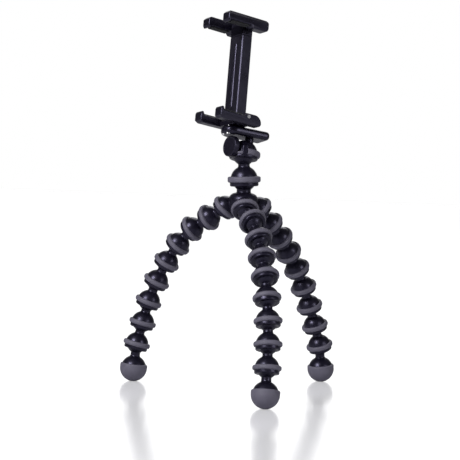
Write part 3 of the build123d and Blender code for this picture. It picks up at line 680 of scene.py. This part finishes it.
clamp_plastic = clamp_plastic_material()
plate_top = lower_pin_z - lower_keel
plate_front = column_x - plate_r
plate_corners = np.array([(plate_front, -plate_r), (plate_rear, -plate_r), (plate_rear, plate_r),
                          (plate_front, plate_r)]) - [spigot_x, 0]
plate_axes = np.array([np.cos(plate_turn) * head_axes[0] + np.sin(plate_turn) * head_axes[1],
                       np.cos(plate_turn) * head_axes[1] - np.sin(plate_turn) * head_axes[0], head_axes[2]])
plate_radii = [plate_r, plate_rear_round, plate_rear_round, plate_r]
plate = slab("clamp_plate", plate_corners, plate_radii, plate_floor, plate_top, plate_edge, plate_axes,
             clamp_plastic, plate_steps, in_head(spigot_x, 0, 0))
pocket_floor = plate_floor + plate_web
pocket_top = plate_top + overrun
pocket_outline = outline((0, pocket_top), (pocket_r, pocket_top), (pocket_r, pocket_floor), (0, pocket_floor))
cut(plate, turned("pocket", pocket_outline, in_head(spigot_x, 0, 0), head_axes[2], clamp_plastic))
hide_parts("base_plate")
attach(plate, "clamp_base")


# Column
# An upright hollow bar between the jaws, with bevelled corners and a shallow groove down its phone side. Its foot is
# rounded about the pin that it folds on, and a spring inside it pulls the slider down.
column_width = 12.4
column_front = 4.1
column_rear = 2.9
column_top = 67.7
column_bevel = (0.5, 0.6)
column_corner_round = 0.22
column_end_round = 0.2
groove_width = 1.6
groove_depth = 0.5
groove_step = 0.1
groove_deep_share = 0.4
groove_shelf_share = 0.06
groove_round = 0.06
groove_foot = 25.9
groove_head = 63.3
bore_width = 9.2
bore_depth = 4.0
bore_floor = 24.0
bore_round = 0.2
bore_overrun = 3.0
corner_share = 1.05
bar_end_steps = 48
arm_axes = np.array([head_axes[0], head_axes[2], -head_axes[1]])
bar_middle = column_x + (column_rear - column_front) / 2


def block(name, x_range, y_range, z_range, edge, material):
    """A plain block with round edges, between two places along the arms, across them and up the column. Its corners
    are a little rounder than its edges, so that they stay open where the edges draw in."""
    corners = [(x_range[0], z_range[0]), (x_range[1], z_range[0]), (x_range[1], z_range[1]), (x_range[0], z_range[1])]
    return slab(name, corners, [edge * corner_share] * 4, -y_range[1], -y_range[0], edge, arm_axes, material)


def bevelled_bar(name, x_range, z_range):
    """A bar up the column with a flat bevel on each of its upright corners."""
    near, far = -column_width / 2, column_width / 2
    front, rear = x_range
    along, over = column_bevel
    corners = [(front + along, near), (rear - along, near), (rear, near + over), (rear, far - over),
               (rear - along, far), (front + along, far), (front, far - over), (front, near + over)]
    return slab(name, corners, [column_corner_round] * 8, *z_range, column_end_round, head_axes, clamp_plastic, 3)


def round_end(name, pin_z):
    """The round end of a bar about its pin, a hair narrower than the bar."""
    half = column_width / 2 - running_gap
    edge = column_end_round
    radius = column_rear
    profile = outline((0, half), arc((radius - edge, half - edge), edge, 90, 0, 15),
                      arc((radius - edge, edge - half), edge, 0, -90, 15), (0, -half))
    return turned(name, profile, in_head(column_x, 0, pin_z), head_axes[1], clamp_plastic, bar_end_steps)


column = bevelled_bar("clamp_column", (column_x - column_front, column_x + column_rear), (lower_pin_z, column_top))
# Across, in shares of its width from its middle: deep at one side, a floor that slopes up, and a shallow shelf
groove_corners = np.array([(-overrun, -0.5), (groove_depth, -0.5), (groove_depth, -groove_deep_share),
                           (groove_step, -groove_shelf_share), (groove_step, 0.5), (-overrun, 0.5)])
groove_corners = groove_corners * [1, groove_width] + [column_x - column_front, 0]
cut(column, slab("groove", groove_corners, [groove_round] * 6, groove_foot, groove_head, cutter_edge, head_axes,
                 clamp_plastic, 2))
cut(column, block("bore", (bar_middle - bore_depth / 2, bar_middle + bore_depth / 2),
                  (-bore_width / 2, bore_width / 2), (bore_floor, column_top + bore_overrun), bore_round,
                  clamp_plastic))
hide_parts("column")
for piece in (column, round_end("column_foot", lower_pin_z)):
    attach(piece, "column")


# Slider
# A flat tongue runs inside the column and ends in a head that the upper jaw folds on. Both are one moulding of the
# column's satin plastic, and the spring inside the column pulls them down.
upper_pin_z = 73.9
slider_gap = 0.2
slider_play = 0.1
slider_tail = 36.0
head_foot = column_top + slider_gap
slider = bevelled_bar("slider_head", (column_x - column_front, column_x + column_rear),
                      (head_foot, upper_pin_z))
slider_front = bevelled_bar("slider_front", (column_x - column_front, column_x + column_bevel[0]),
                            (head_foot + column_bevel[0], upper_pin_z + column_rear))
tongue_x = (bar_middle - bore_depth / 2 + slider_play, bar_middle + bore_depth / 2 - slider_play)
tongue_y = (slider_play - bore_width / 2, bore_width / 2 - slider_play)
tongue = block("slider_tongue", tongue_x, tongue_y, (slider_tail, head_foot + overrun), bore_round, clamp_plastic)
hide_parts("slider")
for piece in (slider, slider_front, tongue, round_end("slider_top", upper_pin_z)):
    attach(piece, "slider")


# Jaws
# Each jaw is one moulding of two arms, joined by a thin web beyond the column's end. A low hook at the front of
# each arm holds the phone's edge, and a soft strip behind it grips. The lower jaw is screwed to the plate.
jaw_front = 19.5
jaw_rear = 9.2
arm_width = 6.5
side_gap = 0.3
jaw_bevel = 1.4
jaw_round = 0.7
jaw_slope_inset = 1.4
jaw_slope_height = 2.3
slope_overrun = 0.5
nose_round = 0.8
ear_foot_round = 0.6
hook_foot_round = 0.4
hook_thickness = 1.6
ear_front = 3.2
web_half = 4.0
back_web_depth = 4.0
back_web_height = 3.0
bridge_depth = 2.7
bridge_height = 3.0
pad_thickness = 0.8
pad_margin = 1.0
pad_bury = 0.3
pad_edge = 0.3
arm_edge = 0.65
web_edge = 0.4
low_web_edge = 0.3
jaws = {
    "lower": {"keel": lower_keel, "lip": 0.4, "ear": 1.9, "hook": 2.1, "heel": 1.0, "shoulder": 4.6,
              "pin_z": lower_pin_z, "up": 1, "body": "clamp_base"},
    "upper": {"keel": 3.7, "lip": 1.6, "ear": 3.2, "hook": 1.1, "heel": 1.6, "shoulder": 2.4,
              "pin_z": upper_pin_z, "up": -1, "body": "upper_jaw"},
}
half_gap = column_width / 2 + side_gap


def pad_rubber_material():
    """Soft black rubber, moulded plain and matt: dull, with a fine grain that spreads its highlights."""
    material, tree = new_material("matt_rubber")
    place = add(tree, "ShaderNodeTexCoord", {}, {}).outputs["Object"]
    # The mould's grain, 0.15 mm on the real piece, drawn at 0.5 mm so that it shows
    grain = add(tree, "ShaderNodeTexNoise", {}, {"Vector": place, "Scale": 1 / (0.5 * mm), "Detail": 3.0})
    tone = add(tree, "ShaderNodeMix", {"data_type": "RGBA"},
               {0: grain.outputs["Fac"], 6: linear("1B1B1D"), 7: linear("2B2B2E")})
    bump = add(tree, "ShaderNodeBump", {}, {"Strength": 0.3, "Distance": 0.05 * mm, "Height": grain.outputs["Fac"]})
    shader = add(tree, "ShaderNodeBsdfPrincipled", {},
                 {"Base Color": tone.outputs[2], "Roughness": 0.8, "IOR": 1.5, "Normal": bump.outputs["Normal"]})
    add(tree, "ShaderNodeOutputMaterial", {}, {"Surface": shader.outputs[0]})
    return material


def keel_wedge(side, jaw):
    """What the slope along an arm's outer keel edge takes away: a three-sided bar whose long side is the slope, drawn
    on past both ends by a share of its length."""
    outer = side * (half_gap + arm_width)
    keel_z = jaw["pin_z"] - jaw["up"] * jaw["keel"]
    inset = side * jaw_slope_inset
    rise = jaw["up"] * jaw_slope_height
    inner_end = (outer - (1 + slope_overrun) * inset, keel_z - slope_overrun * rise)
    outer_end = (outer + slope_overrun * inset, keel_z + (1 + slope_overrun) * rise)
    corners = [inner_end, (outer_end[0], inner_end[1]), outer_end]
    order = slice(None, None, side * jaw["up"])
    return slab("keel_wedge", corners[order], [cutter_edge] * 3, column_x - jaw_front - overrun,
                column_x + jaw_rear + overrun, cutter_edge, head_axes[[1, 2, 0]], clamp_plastic, 2)


pad_rubber = pad_rubber_material()
for name, jaw in jaws.items():
    tip = -jaw_front
    keel = jaw["keel"]
    hook_top = jaw["lip"] + jaw["hook"]
    side_view = np.array([
        (tip, jaw_bevel - keel), (tip + jaw_bevel, -keel), (jaw_rear, -keel), (jaw_rear, jaw["ear"]),
        (jaw_bevel - ear_front, jaw["ear"]), (-ear_front, jaw["lip"]),
        (tip + hook_thickness + jaw["hook"] / 2, jaw["lip"]), (tip + hook_thickness, hook_top),
        (tip + jaw_round, hook_top), (tip, hook_top - jaw_bevel),
    ])
    corner_radii = np.array([nose_round, nose_round, jaw["heel"], jaw["shoulder"], jaw_round, ear_foot_round,
                             hook_foot_round, jaw_round, jaw_round, jaw_round])
    corners = side_view * [1, jaw["up"]] + [column_x, jaw["pin_z"]]
    pieces = []
    for side in (-1, 1):
        near, far = sorted((side * half_gap, side * (half_gap + arm_width)))
        order = slice(None, None, jaw["up"])
        arm = slab(f"{name}_jaw_arm_{(side + 3) // 2}", corners[order], corner_radii[order], -far, -near, arm_edge,
                   arm_axes, clamp_plastic)
        cut(arm, keel_wedge(side, jaw))
        pieces.append(arm)
        start = column_x + tip + hook_thickness + jaw_bevel
        pad_z = sorted(jaw["pin_z"] + jaw["up"] * np.array([jaw["lip"] - pad_bury, jaw["lip"] + pad_thickness]))
        pad = block(f"{name}_jaw_pad_{(side + 3) // 2}", (start, column_x - ear_front - pad_margin),
                    (near + pad_margin, far - pad_margin), pad_z, pad_edge, pad_rubber)
        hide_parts(f"{name}_jaw_pads")
        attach(pad, jaw["body"])
    across = (-half_gap - overrun, half_gap + overrun)
    keel_z = jaw["pin_z"] - jaw["up"] * keel
    if name == "lower":
        rear = column_x - column_rear - side_gap
        bridge = (rear - bridge_depth, rear)
        pieces.append(block("lower_jaw_web", (bridge[0], column_x + web_half), across,
                            (keel_z, lower_pin_z - column_rear - side_gap), low_web_edge, clamp_plastic))
        pieces.append(block("lower_jaw_bridge", bridge, across, (keel_z, keel_z + bridge_height), web_edge,
                            clamp_plastic))
    else:
        rear = column_x + column_rear + side_gap
        pieces.append(block("upper_jaw_web", (rear, rear + back_web_depth), across,
                            (keel_z - back_web_height, keel_z), web_edge, clamp_plastic))
    for piece in pieces:
        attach(piece, jaw["body"])
    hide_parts(f"{name}_jaw")


# Pins and screws
# Small steel pins and screws hold the moulded pieces together. The pins are drawn wire, cut and pressed in, and the
# lower pin's bright end shows on the near arm.
def steel_material():
    """Mild steel wire and screws, bright, with fine drawing marks that dull them in spots."""
    material, tree = new_material("drawn_steel")
    place = add(tree, "ShaderNodeTexCoord", {}, {}).outputs["Object"]
    # Drawing marks, 0.2 mm apart on the real wire, drawn at 0.4 mm so that they show
    marks = add(tree, "ShaderNodeTexNoise", {}, {"Vector": place, "Scale": 1 / (0.4 * mm), "Detail": 3.0})
    tone = add(tree, "ShaderNodeMix", {"data_type": "RGBA"},
               {0: marks.outputs["Fac"], 6: linear("9A9A9E"), 7: linear("C4C4C8")})
    rough = add(tree, "ShaderNodeMapRange", {}, {"Value": marks.outputs["Fac"], "To Min": 0.22, "To Max": 0.42})
    shader = add(tree, "ShaderNodeBsdfPrincipled", {},
                 {"Base Color": tone.outputs[2], "Roughness": rough.outputs[0], "Metallic": 1.0})
    add(tree, "ShaderNodeOutputMaterial", {}, {"Surface": shader.outputs[0]})
    return material


steel = steel_material()
steel_nodes = ("hub_screw", "lock_knob_screw", "swivel_washer", "swivel_screw", "base_plate_screws", "column_pin",
               "spring_anchor_pin", "clamp_spring", "upper_jaw_pin")
for name in steel_nodes:
    frame["nodes"][name].data.materials.clear()
    frame["nodes"][name].data.materials.append(steel)
